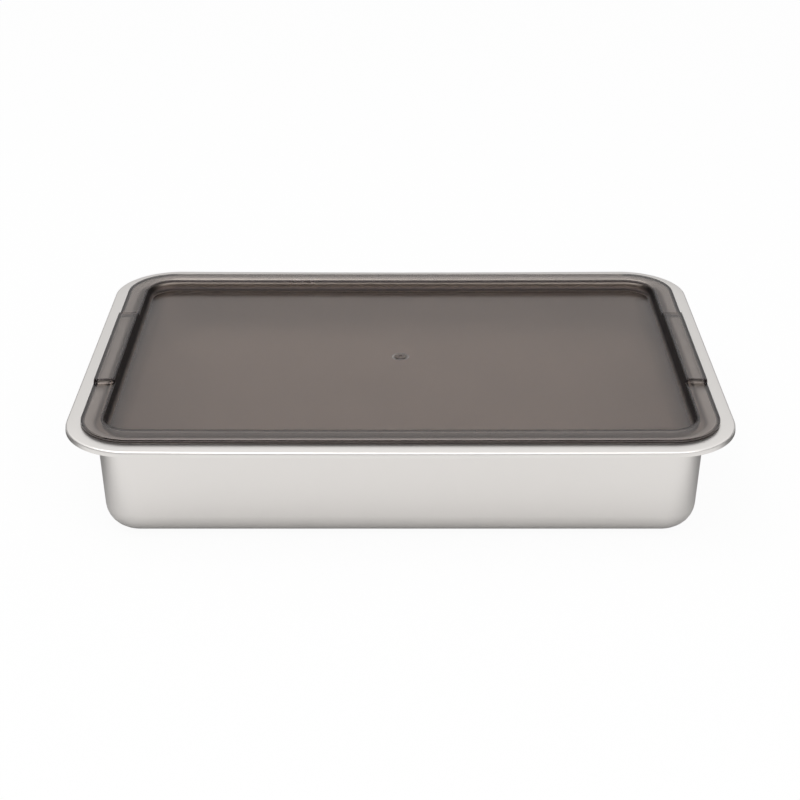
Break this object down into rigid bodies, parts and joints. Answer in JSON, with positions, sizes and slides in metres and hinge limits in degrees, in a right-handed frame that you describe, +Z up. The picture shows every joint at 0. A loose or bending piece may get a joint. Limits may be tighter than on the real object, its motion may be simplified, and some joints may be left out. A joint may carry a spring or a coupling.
{
  "type": "marinade pan",
  "caption": "Rectangular steel pan with a flat flange and turned-down edge, under a moulded see-through lid that rests on the flange and drops into the mouth.",
  "frame": {"origin": "middle of the base, on the table", "axes": "+X along the pan's length, +Y across it, +Z up"},
  "size_m": [0.37, 0.2594, 0.0691],
  "materials": {
    "pan_steel": "satin",
    "lid_plastic": "gloss"
  },
  "bodies": {
    "root": {"pan": "pan_steel", "lid": "lid_plastic"}
  },
  "joints": []
}
